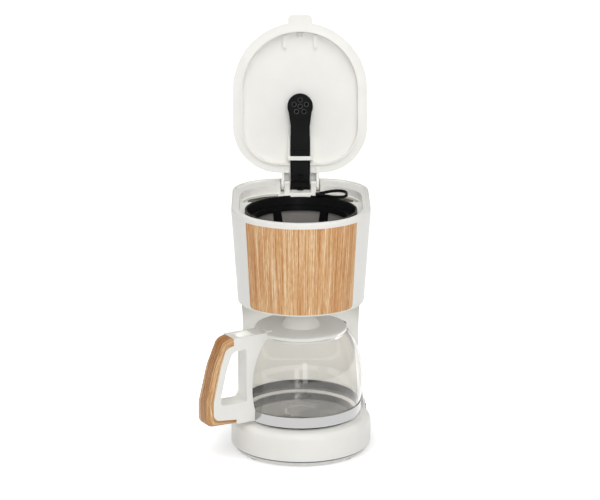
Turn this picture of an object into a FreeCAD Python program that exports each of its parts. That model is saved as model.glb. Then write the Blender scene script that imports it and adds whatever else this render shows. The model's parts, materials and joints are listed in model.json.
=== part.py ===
import FreeCAD, Part
import math
import os
import re
from types import SimpleNamespace

import Sketcher
from FreeCAD import Placement, Rotation, Vector

# Drip coffee maker with a hinged lid, a lift-out filter and a glass jug on a hot plate.
# Millimetres. X to the right, Y to the back, Z up; the origin is on the table under the jug's axis.

SIZES = {
    # Upper housing, called the head: plan at its rim and at its underside
    "rim_margin": 14.1,
    "front_bulge": 2.7,
    "rim_rear": 118,
    "rim_corner": 50,
    "side_draft": 6.3,
    "front_draft": 7.5,
    "rear_draft": 2,
    "head_corner": 48,
    "spout_drop": 7,
    "rim_height": 6,
    "basket_sink": 4,
    "rim_width": 8,
    "rim_round": 2,
    "wall": 2.5,
    "fit": 0.3,
    "running": 0.05,
    # Column behind the jug and the base under it
    "column_step": 2,
    "waist_tuck": 2.5,
    "waist_drop": 57,
    "bay_gap": 5.2,
    "base_margin": 16.8,
    "base_half": 68.5,
    "base_corner": 46,
    "base_bottom": 7,
    "base_top": 36.5,
    "base_round": 8,
    "cover_inset": 1.2,
    "cover_taper": 3,
    "cover_bottom": 1.5,
    "cover_lap": 2,
    "shadow_gap": 1,
    "foot_radius": 6.5,
    "foot_side": 46,
    "foot_front": 42,
    "foot_in": 24,
    "boss_radius": 4,
    "boss_angle": 25,
    "boss_inset": 11,
    "screw_radius": 1.5,
    "screw_head_radius": 3,
    "screw_head": 2,
    "screw_length": 14,
    # Hot plate and what heats it
    "plate_radius": 57,
    "plate_thick": 1.5,
    "plate_proud": 0.4,
    "plate_skirt": 3,
    "plate_ring_radius": 16,
    "plate_ring": 1.6,
    "seal_width": 2,
    "seal_lip": 3,
    "element_radius": 38,
    "element_width": 12,
    "element_height": 10,
    "tail_radius": 4,
    "tail_out": 3,
    "tail_rise": 2,
    "inlet_side": 28,
    "clamp_width": 14,
    "clamp_thick": 2.5,
    "stud_radius": 2.5,
    "stud_length": 17,
    "nut_radius": 4.5,
    "nut_height": 4,
    # Water path
    "hose_radius": 5.5,
    "hose_bore": 3.5,
    "hose_bend": 13,
    "riser_in": 25,
    "inlet_in": 21,
    "valve_radius": 7,
    "valve_length": 16,
    "valve_drop": 36,
    "hose_clip": 0.8,
    "hose_clip_width": 5,
    "tank_gap": 1,
    "tank_wall": 2,
    "tank_drop": 50,
    "tank_flange": 0.8,
    "tank_flange_thick": 2.5,
    "spout_length": 8,
    "nozzle_radius": 6,
    "nozzle_flange": 2,
    "nozzle_height": 12,
    # Wood-look panel on the front of the head
    "panel_top_half": 56.7,
    "panel_bottom_half": 52.5,
    "panel_rise": 1.5,
    "panel_corner": 4,
    "panel_thick": 1.6,
    "panel_proud": 0.4,
    # Filter holder, drip valve and filter basket
    "deck_drop": 5.5,
    "deck_thick": 2.5,
    "ledge_drop": 1.5,
    "ledge_gap": 1.5,
    "mouth_front": 50,
    "mouth_ring": 4,
    "deck_hole": 0.8,
    "skirt_gap": 1,
    "basket_radius": 55.8,
    "lip_width": 2.4,
    "basket_depth": 66,
    "step_drop": 9,
    "basket_step_width": 5,
    "basket_floor_radius": 38,
    "sump_depth": 24,
    "basket_wall": 1.8,
    "window_count": 6,
    "window_width": 29,
    "window_head": 41,
    "notch_front": 17,
    "notch_rear": 10.5,
    "notch_depth": 1.6,
    "window_drop": 5,
    "window_rise": 11,
    "mesh_thick": 0.5,
    "holder_gap": 2.5,
    "knee_rise": 13,
    "holder_flange": 4,
    "holder_lift": 6,
    "holder_floor_thick": 4,
    "holder_sump": 14,
    "spout_radius": 11.5,
    "stem_show": 5.5,
    "stem_radius": 2.5,
    "stem_foot_radius": 6,
    "stem_foot": 2.5,
    "stem_room": 1.5,
    "drip_hole": 4,
    "drip_seal_radius": 7,
    "drip_seal": 1.5,
    "spring_radius": 4.2,
    "spring_wire": 0.5,
    "spring_turns": 5,
    "loop_root": 18,
    "loop_length": 30,
    "loop_width": 15,
    "loop_bar": 3.4,
    "loop_lug": 2.2,
    "loop_pin": 1.1,
    # Lid with the shower arm
    "hinge_in": 18,
    "hinge_drop": 4,
    "hinge_pin": 1.6,
    "hinge_eye": 5,
    "lug_gap": 1,
    "lug_thick": 5.7,
    "lug_run": 18,
    "cheek": 3,
    "lid_open": 101,
    "lid_in": 31.5,
    "lid_height": 9.7,
    "lid_skin": 2.5,
    "lid_round": 5,
    "lid_lip": 1.8,
    "lid_lip_depth": 2.3,
    "tab_half": 13.3,
    "tab_reach": 7.8,
    "tab_thick": 4.5,
    "arm_half": 10.3,
    "arm_drop": 2.5,
    "arm_height": 6,
    "arm_cap": 2,
    "arm_wall": 2,
    "arm_room": 0.5,
    "ridge": 0.7,
    "neck_spread": 26,
    "neck_length": 21,
    "head_centre": 15,
    "head_radius": 13.7,
    "head_drop": 2,
    "jet_radius": 2,
    "jet_ring": 6.9,
    "strap_in": 15.8,
    "strap_width": 4.4,
    "strap_thick": 1.7,
    "rail_width": 3,
    "rail_front": 48,
    "rail_in": 2.5,
    "rib_middle": 16.5,
    "rib_width": 4,
    "rib_front": 61,
    "rib_back": 48,
    # Jug
    "jug_lift": 0.5,
    "foot_tuck": 4.4,
    "band_tuck": 3.4,
    "jug_belly_radius": 65.8,
    "belly_rise": 37,
    "shoulder_tuck": 4.7,
    "shoulder_rise": 31,
    "neck_tuck": 12.5,
    "neck_rise": 23.5,
    "glass": 2,
    "lip_reach": 5,
    "lip_half": 13,
    "band_lift": 3,
    "band_height": 11,
    "band_thick": 0.8,
    "lid_tuck": 0.4,
    "jug_lid_rise": 3.5,
    "jug_lid_thick": 2,
    "jug_lid_skirt": 3.5,
    "jug_lid_thumb": 10,
    "dome_radius": 20,
    "dome_rise": 16,
    "handle_angle": 210,
    "handle_half": 11.5,
    "handle_rise": 5.5,
    "handle_recess": 6,
    "arm_reach": 14.5,
    "foot_reach": 12,
    "grip_thick": 7.5,
    "grip_round": 5,
    "grip_depth": 16.5,
    "grip_rise": 4,
    "bracket": 6.2,
    "finger_room": 30,
    "finger_drop": 7.5,
    "finger_rise": 26.5,
    "knuckle_reach": 9,
    "knuckle_drop": 2,
    "slope_reach": 15,
    "slope_bend": 50,
    "heel_rise": 5,
    "heel_bend": 40,
    "heel_corner": 8,
    "hole_slope": 8.5,
    "hole_bend": 30,
    "hole_corner": 3,
    "brow_reach": 9.5,
    "brow_bend": 12,
    "back_reach": 22,
    "back_bend": 60,
    # Rocker switch and cord inlet
    "switch_back": 56,
    "switch_height": 18,
    "switch_half": 11.5,
    "switch_half_height": 8,
    "switch_depth": 16,
    "bezel": 1.5,
    "bezel_thick": 1.5,
    "rocker_half": 8.5,
    "rocker_half_height": 6,
    "rocker_throw": 14,
    "rocker_pin": 1,
    "inlet_radius": 6,
    "inlet_bore": 3.2,
    "inlet_flange": 2.5,
    "inlet_offset": 0,
    "inlet_height": 18,
    "inlet_nut": 3,
}

# Sizes that follow from those above, so that neighbours stay together

FITTED = {
    "basket_lip": "=basket_radius + lip_width",
    "rim_half": "=basket_lip + rim_margin",
    "rim_front": "=rim_half + front_bulge",
    "head_half": "=rim_half - side_draft",
    "head_front": "=rim_front - front_draft",
    "head_rear": "=rim_rear - rear_draft",
    "base_rear": "=head_rear",
    "column_top_half": "=head_half - column_step",
    "column_waist_half": "=column_top_half - waist_tuck",
    "base_radius": "=plate_radius + base_margin",
    "tail_length": "=plate_radius + seal_width + tail_out - element_radius",
    "riser_back": "=base_rear - riser_in",
    "inlet_back": "=base_rear - inlet_in",
    "foot_back": "=base_rear - foot_in",
    "hinge_back": "=rim_rear - hinge_in",
    "lid_rear": "=rim_rear - lid_in",
    "lug_front": "=hinge_back - lug_run",
    "rail_back": "=lid_rear - rail_in",
    "strap_back": "=lid_rear - strap_in",
    "lug_inner": "=arm_half + lug_gap",
    "lug_outer": "=lug_inner + lug_thick",
    "jug_band_radius": "=jug_belly_radius - band_tuck",
    "jug_base_radius": "=jug_band_radius - foot_tuck",
    "jug_shoulder_radius": "=jug_belly_radius - shoulder_tuck",
    "jug_neck_radius": "=jug_shoulder_radius - neck_tuck",
    "jug_lid_radius": "=jug_neck_radius - lid_tuck",
    "bay_radius": "=jug_belly_radius + bay_gap",
    "finger_inner": "=jug_belly_radius + bracket",
    "finger_outer": "=finger_inner + finger_room",
    "grip_start": "=finger_inner + arm_reach",
    "grip_end": "=finger_inner + foot_reach",
    "grip_reach": "=finger_outer + grip_depth",
    "jug_bottom": "=base_top + jug_lift",
    "band_bottom": "=jug_bottom + band_lift",
    "jug_belly": "=jug_bottom + belly_rise",
    "jug_shoulder": "=jug_belly + shoulder_rise",
    "jug_rim": "=jug_shoulder + neck_rise",
    "jug_lid_top": "=jug_rim + jug_lid_rise",
    "dome_top": "=jug_lid_top + dome_rise",
    "stem_end": "=dome_top + stem_room",
    "spout_end": "=stem_end + stem_show",
    "head_bottom": "=spout_end + spout_drop",
    "holder_floor": "=head_bottom + holder_lift",
    "basket_floor": "=holder_floor + sump_depth",
    "holder_knee": "=basket_floor + knee_rise",
    "window_bottom": "=basket_floor + window_rise",
    "basket_top": "=basket_floor + basket_depth",
    "basket_step": "=basket_top - step_drop",
    "window_top": "=basket_step - window_drop",
    "deck_top": "=basket_top - deck_drop",
    "rim_top": "=basket_top + basket_sink",
    "head_top": "=rim_top - rim_height",
    "hinge_height": "=rim_top - hinge_drop",
    "arm_bottom": "=rim_top - arm_drop",
    "panel_bottom": "=head_bottom + panel_rise",
    "tank_bottom": "=head_bottom - tank_drop",
    "valve_height": "=tank_bottom - valve_drop",
    "column_waist": "=head_bottom - waist_drop",
    "handle_top": "=jug_rim + handle_rise",
    "finger_top": "=jug_rim - finger_drop",
    "finger_bottom": "=jug_bottom + finger_rise",
    "grip_bottom": "=jug_bottom + grip_rise",
    "loop_middle": "=sqrt((basket_lip - basket_wall / 2)^2 - loop_root^2)",
}

doc = FreeCAD.newDocument("DripCoffeeMaker")
sheet = doc.addObject("Spreadsheet::Sheet", "Sizes")
ALIASES = {**SIZES, **FITTED}
for row, (alias, number) in enumerate(ALIASES.items(), 1):
    sheet.set("A%d" % row, alias)
    sheet.set("B%d" % row, str(number))
    sheet.setAlias("B%d" % row, alias)
doc.recompute()
s = SimpleNamespace(**{alias: float(sheet.get(alias)) for alias in ALIASES})

pieces = []
TURN = {
    "x": Rotation(Vector(0, 1, 0), 90),
    "y": Rotation(Vector(1, 0, 0), -90),
    "z": Rotation(),
}
LID_OPEN = Placement(
    Vector(), Rotation(Vector(-1, 0, 0), s.lid_open), Vector(0, s.hinge_back, s.hinge_height)
)
JUG_TURN = Placement(Vector(), Rotation(Vector(0, 0, 1), s.handle_angle))


# Document helpers: bound primitives, booleans and turned bodies


def cells(text):
    """The expression with each size's name written as its cell in the sheet."""
    return re.sub(r"[a-z][a-z_]+", lambda m: "Sizes." + m[0] if m[0] in ALIASES else m[0], str(text))


def tie(obj, **expressions):
    """Binds properties to the sheet; two underscores in a name stand for a dot."""
    for name, text in expressions.items():
        obj.setExpression(name.replace("__", "."), cells(text))


def cylinder(name, radius, height, x=0, y=0, z=0, axis="z"):
    obj = doc.addObject("Part::Cylinder", name)
    obj.Placement = Placement(Vector(), TURN[axis])
    tie(obj, Radius=radius, Height=height)
    tie(obj, Placement__Base__x=x, Placement__Base__y=y, Placement__Base__z=z)
    return obj


def box(name, length, width, height, x, y, z):
    obj = doc.addObject("Part::Box", name)
    tie(obj, Length=length, Width=width, Height=height)
    tie(obj, Placement__Base__x=x, Placement__Base__y=y, Placement__Base__z=z)
    return obj


def cut(name, base, *tools):
    for number, tool in enumerate(tools):
        obj = doc.addObject("Part::Cut", name if tool is tools[-1] else "%s_cut%d" % (name, number))
        obj.Base = base
        obj.Tool = tool
        base = obj
    return base


def fuse(name, *parts):
    obj = doc.addObject("Part::MultiFuse", name)
    obj.Shapes = list(parts)
    return obj


def group(name, *parts):
    obj = doc.addObject("Part::Compound", name)
    obj.Links = list(parts)
    return obj


def turned(name, *profile):
    """A body turned about the vertical axis from a closed profile of (radius, height) cells."""
    body = doc.addObject("PartDesign::Body", name)
    plane = next(f for f in body.Origin.OriginFeatures if f.Role == "XZ_Plane")
    sketch = body.newObject("Sketcher::SketchObject", name + "_profile")
    sketch.AttachmentSupport = [(plane, "")]
    sketch.MapMode = "FlatFace"
    count = len(profile)
    start = [Vector(50 + 20 * math.cos(6.28 * i / count), 20 * math.sin(6.28 * i / count), 0)
             for i in range(count)]
    for i in range(count):
        sketch.addGeometry(Part.LineSegment(start[i], start[(i + 1) % count]), False)
    for i, (radius, height) in enumerate(profile):
        sketch.addConstraint(Sketcher.Constraint("Coincident", i, 2, (i + 1) % count, 1))
        if radius == "0":
            sketch.addConstraint(Sketcher.Constraint("PointOnObject", i, 1, -2))
        else:
            number = sketch.addConstraint(Sketcher.Constraint("DistanceX", -1, 1, i, 1, 50.0))
            sketch.setExpression("Constraints[%d]" % number, cells(radius))
        number = sketch.addConstraint(Sketcher.Constraint("DistanceY", -1, 1, i, 1, 10.0))
        sketch.setExpression("Constraints[%d]" % number, cells(height))
    turn = body.newObject("PartDesign::Revolution", name + "_turn")
    turn.Profile = sketch
    turn.ReferenceAxis = (sketch, ["V_Axis"])
    turn.Angle = 360
    return body


def shaped(name, shape):
    """A free-form piece, whose shape is worked out below from the sheet's sizes."""
    obj = doc.addObject("Part::Feature", name)
    obj.Shape = shape
    return obj


def piece(obj, label, placement=None):
    """Names a finished sub-part and puts it in its place."""
    obj.Label = label
    if placement is not None:
        obj.Placement = placement.multiply(obj.Placement)
    pieces.append(obj)


# Shape helpers for the free-form pieces


def plan(half, front, rear, corner, height):
    """The body's outline: half-round in front, straight sides, rounded rear corners."""
    middle = half - front
    side = rear - corner
    back = half - corner
    bulge = corner * math.sqrt(0.5)
    right_front = Vector(half, middle, height)
    left_front = Vector(-half, middle, height)
    right_side = Vector(half, side, height)
    left_side = Vector(-half, side, height)
    right_back = Vector(back, rear, height)
    left_back = Vector(-back, rear, height)
    right_bulge = Vector(back + bulge, side + bulge, height)
    left_bulge = Vector(-back - bulge, side + bulge, height)
    edges = [
        Part.Arc(left_front, Vector(0, -front, height), right_front),
        Part.LineSegment(right_front, right_side),
        Part.Arc(right_side, right_bulge, right_back),
        Part.LineSegment(right_back, left_back),
        Part.Arc(left_back, left_bulge, left_side),
        Part.LineSegment(left_side, left_front),
    ]
    return Part.Wire([edge.toShape() for edge in edges])


def inset(outline, distance):
    return tuple(length - distance for length in outline)


def prism(outline, low, high):
    return Part.Face(plan(*outline, low)).extrude(Vector(0, 0, high - low))


def tapered(bottom, top, low, high):
    return Part.makeLoft([plan(*bottom, low), plan(*top, high)], True, True)


def rod(radius, low, high, x=0, y=0):
    return Part.makeCylinder(radius, high - low, Vector(x, y, low))


def brick(x0, x1, y0, y1, z0, z1):
    return Part.makeBox(x1 - x0, y1 - y0, z1 - z0, Vector(x0, y0, z0))


def mirrored_brick(x0, x1, y0, y1, z0, z1):
    """Two like blocks, one each side of the middle plane."""
    return brick(x0, x1, y0, y1, z0, z1).fuse(brick(-x1, -x0, y0, y1, z0, z1))


def cross_rod(radius, x0, x1, y, z):
    return Part.makeCylinder(radius, x1 - x0, Vector(x0, y, z), Vector(1, 0, 0))


def edges_at(shape, height):
    """The edges of a shape that lie level at one height."""
    near = 0.01
    return [e for e in shape.Edges
            if abs(e.BoundBox.ZMin - height) < near and abs(e.BoundBox.ZMax - height) < near]


def rounded(points):
    """A closed wire in the XZ plane through (x, z, radius) corners, each rounded by its radius."""
    flat = [Vector(x, 0, z) for x, z, radius in points]
    count = len(points)
    ends = []
    edges = []
    for i, (x, z, radius) in enumerate(points):
        before = (flat[i - 1] - flat[i]).normalize()
        after = (flat[(i + 1) % count] - flat[i]).normalize()
        half = before.getAngle(after) / 2
        reach = radius / math.tan(half)
        middle = (before + after).normalize()
        start = flat[i] + before * reach
        end = flat[i] + after * reach
        if radius:
            nearest = flat[i] + middle * (radius / math.sin(half) - radius)
            edges.append(Part.Arc(start, nearest, end).toShape())
        else:
            edges.append(None)
        ends.append((start, end))
    chain = []
    for i in range(count):
        if edges[i] is not None:
            chain.append(edges[i])
        here = ends[i][1]
        there = ends[(i + 1) % count][0]
        if here.distanceToPoint(there) > 0.001:
            chain.append(Part.LineSegment(here, there).toShape())
    return Part.Wire(chain)


def slab(points, low, high):
    """A rounded outline in the XZ plane, thick along Y."""
    face = Part.Face(rounded(points))
    face.translate(Vector(0, low, 0))
    return face.extrude(Vector(0, high - low, 0))


def spun(edges):
    """A solid turned about the vertical axis from a closed profile in the XZ plane."""
    return Part.Face(Part.Wire(edges)).revolve(Vector(), Vector(0, 0, 1), 360)


def chain_edges(*points):
    """Straight edges from point to point, given as (radius, height)."""
    spots = [Vector(radius, 0, height) for radius, height in points]
    return [Part.LineSegment(a, b).toShape() for a, b in zip(spots, spots[1:])]


RIM = (s.rim_half, s.rim_front, s.rim_rear, s.rim_corner)
HEAD = (s.head_half, s.head_front, s.head_rear, s.head_corner)
BASE = (s.base_half, s.base_half, s.base_rear, s.base_corner)
LID = (s.rim_half, s.rim_front, s.lid_rear, s.rim_corner)


# Main body: base and column moulded as one shell, open underneath and at the column's top

column_low = s.base_top - s.base_round
under_top = s.base_top - s.wall
boss_low = s.base_bottom + s.cover_lap
plate_hole = s.plate_radius + s.seal_width
boss_reach = s.base_radius - s.boss_inset
boss_side = boss_reach * math.sin(math.radians(s.boss_angle))
boss_front = boss_reach * math.cos(math.radians(s.boss_angle))
boss_back = s.base_rear - s.boss_inset
rear_side = s.base_half - s.base_corner
BOSSES = [
    (-boss_side, -boss_front, -90 - s.boss_angle),
    (boss_side, -boss_front, -90 + s.boss_angle),
    (-rear_side, boss_back, 90),
    (rear_side, boss_back, 90),
]


def base_block(distance, low, high):
    """A round base with the column's footprint behind it, smaller by the given distance."""
    return rod(s.base_radius - distance, low, high).fuse(prism(inset(BASE, distance), low, high))


def column(distance):
    """The waisted column behind the jug's bay, smaller by the given distance."""
    levels = (
        (column_low, s.base_half, s.base_rear),
        (s.column_waist, s.column_waist_half, s.head_rear),
        (s.head_bottom, s.column_top_half, s.head_rear),
    )
    wires = [plan(*inset((half, half, rear, s.base_corner), distance), level) for level, half, rear in levels]
    solid = Part.makeLoft(wires, True, False)
    return solid.cut(rod(s.bay_radius + distance, column_low - 1, s.head_bottom + 1))


def base_disc(distance, low):
    """The round part of the base with its rounded top edge."""
    high = s.base_top - distance
    disc = rod(s.base_radius - distance, low, high)
    return disc.makeFillet(s.base_round - distance, edges_at(disc, high))


def boss(x, y, turn):
    """A screw boss with a web that joins it to the base's wall."""
    web = brick(0, s.boss_inset - s.wall / 2, -s.wall / 2, s.wall / 2, boss_low, column_low)
    web.rotate(Vector(), Vector(0, 0, 1), turn)
    web.translate(Vector(x, y, 0))
    return web.fuse(rod(s.boss_radius, boss_low, column_low, x, y))


def main_body():
    solid = base_disc(0, s.base_bottom)
    solid = solid.fuse(prism(BASE, s.base_bottom, column_low)).fuse(column(0))
    hollow = base_disc(s.wall, s.base_bottom - 1)
    hollow = hollow.fuse(prism(inset(BASE, s.wall), s.base_bottom - 1, column_low)).fuse(column(s.wall))
    room = s.hose_radius + 2 * s.hose_clip
    tunnel = brick(-room, s.inlet_side + room, s.element_radius, s.riser_back, column_low - 1, under_top)
    hollow = hollow.fuse(tunnel)
    solid = solid.cut(hollow).cut(rod(plate_hole, under_top - 1, s.base_top + 1))
    for x, y, turn in BOSSES:
        solid = solid.fuse(boss(x, y, turn))
    for x, y, turn in BOSSES:
        solid = solid.cut(rod(s.screw_radius, boss_low, boss_low + s.screw_length, x, y))
    side = s.base_half - 2 * s.wall
    solid = solid.cut(switch_block(s.switch_half, s.switch_half_height, side, s.base_half + 1))
    start = Vector(-s.inlet_offset, s.base_rear - 2 * s.wall, s.inlet_height)
    inlet = Part.makeCylinder(s.inlet_radius, 4 * s.wall, start, Vector(0, 1, 0))
    return solid.cut(inlet).removeSplitter()


def switch_block(half, half_height, x0, x1):
    """A block on the switch's axis, from one distance out of the middle plane to another."""
    return brick(x0, x1, s.switch_back - half, s.switch_back + half,
                 s.switch_height - half_height, s.switch_height + half_height)


piece(shaped("MainBody", main_body()), "main_body")


# Bottom cover on four screws, with rubber feet

cover_top = s.base_bottom - s.shadow_gap
screw_seat = s.cover_bottom + s.screw_head + s.fit


def bottom_cover():
    wide = s.base_radius - s.cover_inset
    disc = Part.makeCone(wide - s.cover_taper, wide, cover_top - s.cover_bottom, Vector(0, 0, s.cover_bottom))
    lower = inset(BASE, s.cover_inset + s.cover_taper)
    foot = tapered(lower, inset(BASE, s.cover_inset), s.cover_bottom, cover_top)
    tray = disc.fuse(foot)
    inside = s.wall + s.fit
    tray = tray.fuse(base_block(inside, cover_top, boss_low))
    tray = tray.cut(base_block(inside + s.wall, s.cover_bottom + s.wall, boss_low + 1))
    for x, y, turn in BOSSES:
        pillar = rod(s.boss_radius, s.cover_bottom + s.wall, boss_low, x, y)
        tray = tray.fuse(pillar.common(base_block(inside, s.cover_bottom, boss_low)))
    for x, y, turn in BOSSES:
        tray = tray.cut(rod(s.screw_head_radius + s.fit, s.cover_bottom - 1, screw_seat, x, y))
        tray = tray.cut(rod(s.screw_radius + s.fit, s.cover_bottom, boss_low + 1, x, y))
    return tray.removeSplitter()


def bottom_screw(x, y):
    head = rod(s.screw_head_radius, screw_seat - s.screw_head, screw_seat, x, y)
    slot = brick(x - s.screw_head_radius, x + s.screw_head_radius, y - s.fit, y + s.fit,
                 screw_seat - s.screw_head, screw_seat - s.screw_head / 2)
    return head.cut(slot).fuse(rod(s.screw_radius, screw_seat, screw_seat + s.screw_length, x, y))


piece(shaped("BottomCover", bottom_cover()), "bottom_cover")
bottom_screws = Part.Compound([bottom_screw(x, y) for x, y, turn in BOSSES])
piece(shaped("BottomScrews", bottom_screws), "bottom_screws")
feet = [
    cylinder("Foot%d%d" % (i, j), "foot_radius", "cover_bottom", side, back)
    for i, side in enumerate(("-foot_side", "foot_side"))
    for j, back in enumerate(("-foot_front", "foot_back"))
]
piece(group("Feet", *feet), "feet")


# Hot plate in its seal, with the heater clamped under it

PLATE_TOP = "(base_top + plate_proud)"
PLATE_UNDER = PLATE_TOP + " - plate_thick"
ELEMENT_UNDER = PLATE_UNDER + " - element_height"
hot_plate = turned(
    "HotPlate",
    ("0", PLATE_TOP),
    ("plate_ring_radius - plate_ring", PLATE_TOP),
    ("plate_ring_radius", PLATE_TOP + " - plate_thick / 3"),
    ("plate_ring_radius + plate_ring", PLATE_TOP),
    ("plate_radius", PLATE_TOP),
    ("plate_radius", PLATE_TOP + " - plate_skirt"),
    ("plate_radius - plate_thick", PLATE_TOP + " - plate_skirt"),
    ("plate_radius - plate_thick", PLATE_UNDER),
    ("0", PLATE_UNDER),
)
piece(hot_plate, "hot_plate")
plate_seal = turned(
    "PlateSeal",
    ("plate_radius", "base_top - wall - plate_thick"),
    ("plate_radius", "base_top"),
    ("plate_radius + seal_width", "base_top"),
    ("plate_radius + seal_width", "base_top - wall"),
    ("plate_radius + seal_width + seal_lip", "base_top - wall"),
    ("plate_radius + seal_width + seal_lip", "base_top - wall - plate_thick"),
)
piece(plate_seal, "plate_seal")

element_top = s.base_top + s.plate_proud - s.plate_thick
element_low = element_top - s.element_height
tail_level = element_low + s.tail_rise
tail_end = s.element_radius + s.tail_length


def along_back(radius, x, y0, y1, z):
    return Part.makeCylinder(radius, y1 - y0, Vector(x, y0, z), Vector(0, 1, 0))


def heating_element():
    outer = s.element_radius + s.element_width / 2
    inner = s.element_radius - s.element_width / 2
    gap = s.element_width / 2
    ring = rod(outer, element_low, element_top).cut(rod(inner, element_low, element_top))
    ring = ring.cut(brick(gap, s.inlet_side - gap, 0, outer, element_low, element_top))
    for x in (0, s.inlet_side):
        root = math.sqrt(s.element_radius ** 2 - x ** 2)
        ring = ring.fuse(along_back(s.tail_radius, x, root, tail_end, tail_level))
        ring = ring.cut(along_back(s.tail_radius / 2, x, root, tail_end + 1, tail_level))
    return ring.removeSplitter()


piece(shaped("HeatingElement", heating_element()), "heating_element")
clamp_bar = box(
    "ClampBar", "2 * element_radius + element_width", "clamp_width", "clamp_thick",
    "-element_radius - element_width / 2", "-clamp_width / 2", ELEMENT_UNDER + " - clamp_thick",
)
clamp_hole = cylinder(
    "ClampHole", "stud_radius + fit", "2 * clamp_thick", z=ELEMENT_UNDER + " - 1.5 * clamp_thick"
)
piece(cut("ElementClamp", clamp_bar, clamp_hole), "element_clamp")
piece(cylinder("PlateStud", "stud_radius", "stud_length", z=PLATE_UNDER + " - stud_length"), "plate_stud")
NUT_UNDER = ELEMENT_UNDER + " - clamp_thick - nut_height"
nut = doc.addObject("Part::Prism", "NutBlank")
nut.Polygon = 6
tie(nut, Circumradius="nut_radius", Height="nut_height", Placement__Base__z=NUT_UNDER)
nut_hole = cylinder("NutHole", "stud_radius", "nut_height", z=NUT_UNDER)
piece(cut("ClampNut", nut, nut_hole), "clamp_nut")
thermostat = cylinder(
    "Thermostat", "element_width / 2", "element_height - plate_thick",
    y="-element_radius", z=ELEMENT_UNDER + " - element_height + plate_thick",
)
piece(thermostat, "thermostat")
thermal_fuse = cylinder(
    "ThermalFuse", "stud_radius", "element_width",
    x="-element_radius * 0.7 - element_width / 2", y="-element_radius * 0.7",
    z=ELEMENT_UNDER + " - stud_radius", axis="x",
)
piece(thermal_fuse, "thermal_fuse")


# Hoses: cold water down from the tank through the check valve, hot water up to the lid

spout_low = s.tank_bottom - s.spout_length
nozzle_low = s.deck_top - s.nozzle_height


def bent_rod(radius, x, back, top):
    """A round bar from a heater tail, bent once, and then straight up."""
    run = back - s.hose_bend - tail_end
    level = Part.makeCylinder(radius, run, Vector(x, tail_end, tail_level), Vector(0, 1, 0))
    knee = Vector(x, back - s.hose_bend, tail_level)
    disc = Part.Face(Part.Wire(Part.makeCircle(radius, knee, Vector(0, 1, 0))))
    bend = disc.revolve(knee + Vector(0, 0, s.hose_bend), Vector(1, 0, 0), 90)
    return level.fuse(bend).fuse(rod(radius, tail_level + s.hose_bend, top, x, back))


def hose(x, back, top):
    return bent_rod(s.hose_radius, x, back, top).cut(bent_rod(s.hose_bore, x, back, top))


piece(shaped("InletHose", hose(s.inlet_side, s.inlet_back, s.valve_height)), "inlet_hose")
piece(shaped("RiserHose", hose(0, s.riser_back, nozzle_low)), "riser_hose")
valve_body = cylinder("ValveBody", "valve_radius", "valve_length", "inlet_side", "inlet_back", "valve_height")
valve_bore = cylinder("ValveBore", "hose_bore", "valve_length", "inlet_side", "inlet_back", "valve_height")
piece(cut("CheckValve", valve_body, valve_bore), "check_valve")
VALVE_TOP = "valve_height + valve_length"
TANK_HOSE = "tank_bottom - spout_length - valve_height - valve_length"
hose_body = cylinder("TankHoseBody", "hose_radius", TANK_HOSE, "inlet_side", "inlet_back", VALVE_TOP)
hose_core = cylinder("TankHoseBore", "hose_bore", TANK_HOSE, "inlet_side", "inlet_back", VALVE_TOP)
piece(cut("TankHose", hose_body, hose_core), "tank_hose")


def hose_clip(name, x, y, z, axis):
    ring = cylinder(name + "Band", "hose_radius + hose_clip", "hose_clip_width", x, y, z, axis)
    core = cylinder(name + "Core", "hose_radius", "hose_clip_width", x, y, z, axis)
    return cut(name, ring, core)


TAIL_LEVEL = ELEMENT_UNDER + " + tail_rise"
TAIL_CLIP = "element_radius + tail_length + hose_clip"
hose_clips = [
    hose_clip("RiserClip", "0", TAIL_CLIP, TAIL_LEVEL, "y"),
    hose_clip("InletClip", "inlet_side", TAIL_CLIP, TAIL_LEVEL, "y"),
    hose_clip(
        "LowerValveClip", "inlet_side", "inlet_back", "valve_height - hose_clip - hose_clip_width", "z"
    ),
    hose_clip("UpperValveClip", "inlet_side", "inlet_back", VALVE_TOP + " + hose_clip", "z"),
]
piece(group("HoseClips", *hose_clips), "hose_clips")


# Cord inlet bushing in the back wall

inlet_flange = cylinder(
    "InletFlange",
    "inlet_radius + inlet_flange",
    "bezel_thick",
    "-inlet_offset",
    "base_rear",
    "inlet_height",
    "y",
)
inlet_neck = cylinder(
    "InletNeck", "inlet_radius", "wall", "-inlet_offset", "base_rear - wall", "inlet_height", "y"
)
inlet_nut = cylinder(
    "InletNut", "inlet_radius + inlet_flange", "inlet_nut", "-inlet_offset", "base_rear - wall - inlet_nut",
    "inlet_height", "y",
)
inlet_bore = cylinder(
    "InletBore", "inlet_bore", "4 * wall", "-inlet_offset", "base_rear - 3 * wall", "inlet_height", "y"
)
bushing = fuse("InletSolid", inlet_flange, inlet_neck, inlet_nut)
piece(cut("CordInlet", bushing, inlet_bore), "cord_inlet")


# Rocker switch in the right wall of the base

rocker_axis = s.base_half - s.bezel_thick
rocker_deep = s.rocker_half * 0.4


def switch_frame():
    front = s.base_half + s.bezel_thick
    frame = switch_block(s.switch_half, s.switch_half_height, s.base_half - s.switch_depth, s.base_half)
    rim = s.bezel
    frame = frame.fuse(switch_block(s.switch_half + rim, s.switch_half_height + rim, s.base_half, front))
    room = 3 * s.fit
    depth = rocker_axis - s.rocker_half
    well = switch_block(s.rocker_half + room, s.rocker_half_height + s.fit, depth, front + 1)
    reach = s.rocker_half_height + s.rocker_pin
    pivot = rod(s.rocker_pin + s.running, s.switch_height - reach - s.fit, s.switch_height + reach + s.fit,
                rocker_axis, s.switch_back)
    return frame.cut(well).cut(pivot).removeSplitter()


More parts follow.
